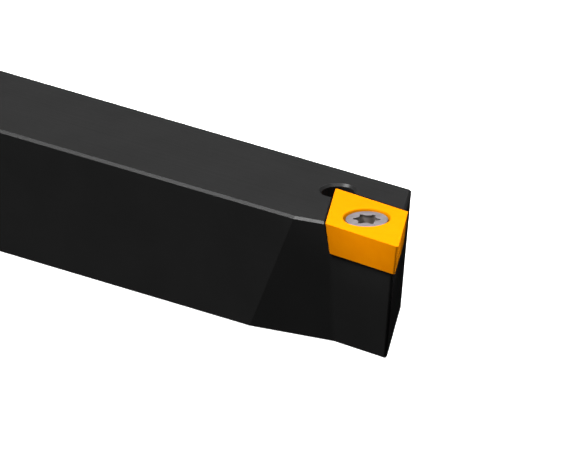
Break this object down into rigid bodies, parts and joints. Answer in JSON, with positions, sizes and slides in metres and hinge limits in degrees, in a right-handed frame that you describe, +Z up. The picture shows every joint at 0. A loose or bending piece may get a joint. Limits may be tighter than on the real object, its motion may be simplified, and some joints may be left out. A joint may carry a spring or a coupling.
{
  "type": "external turning tool holder",
  "caption": "Square-shank external turning tool holder with a screwed-on rhombic insert at one end.",
  "frame": {"origin": "centre of the bounding box's footprint, on the underside of the shank", "axes": "+X along the shank towards the cutting end, +Z up from the underside to the insert's top, -Y out of the side the point cuts on"},
  "size_m": [0.125, 0.016, 0.016],
  "materials": {
    "blackened_steel": "ground steel with a matt black oxide",
    "gold_coated_carbide": "satin gold nitride coating on sintered carbide",
    "screw_steel": "bare hardened steel"
  },
  "bodies": {
    "root": {"holder_body": "blackened_steel", "cutting_insert": "gold_coated_carbide", "clamp_screw": "screw_steel"}
  },
  "joints": []
}
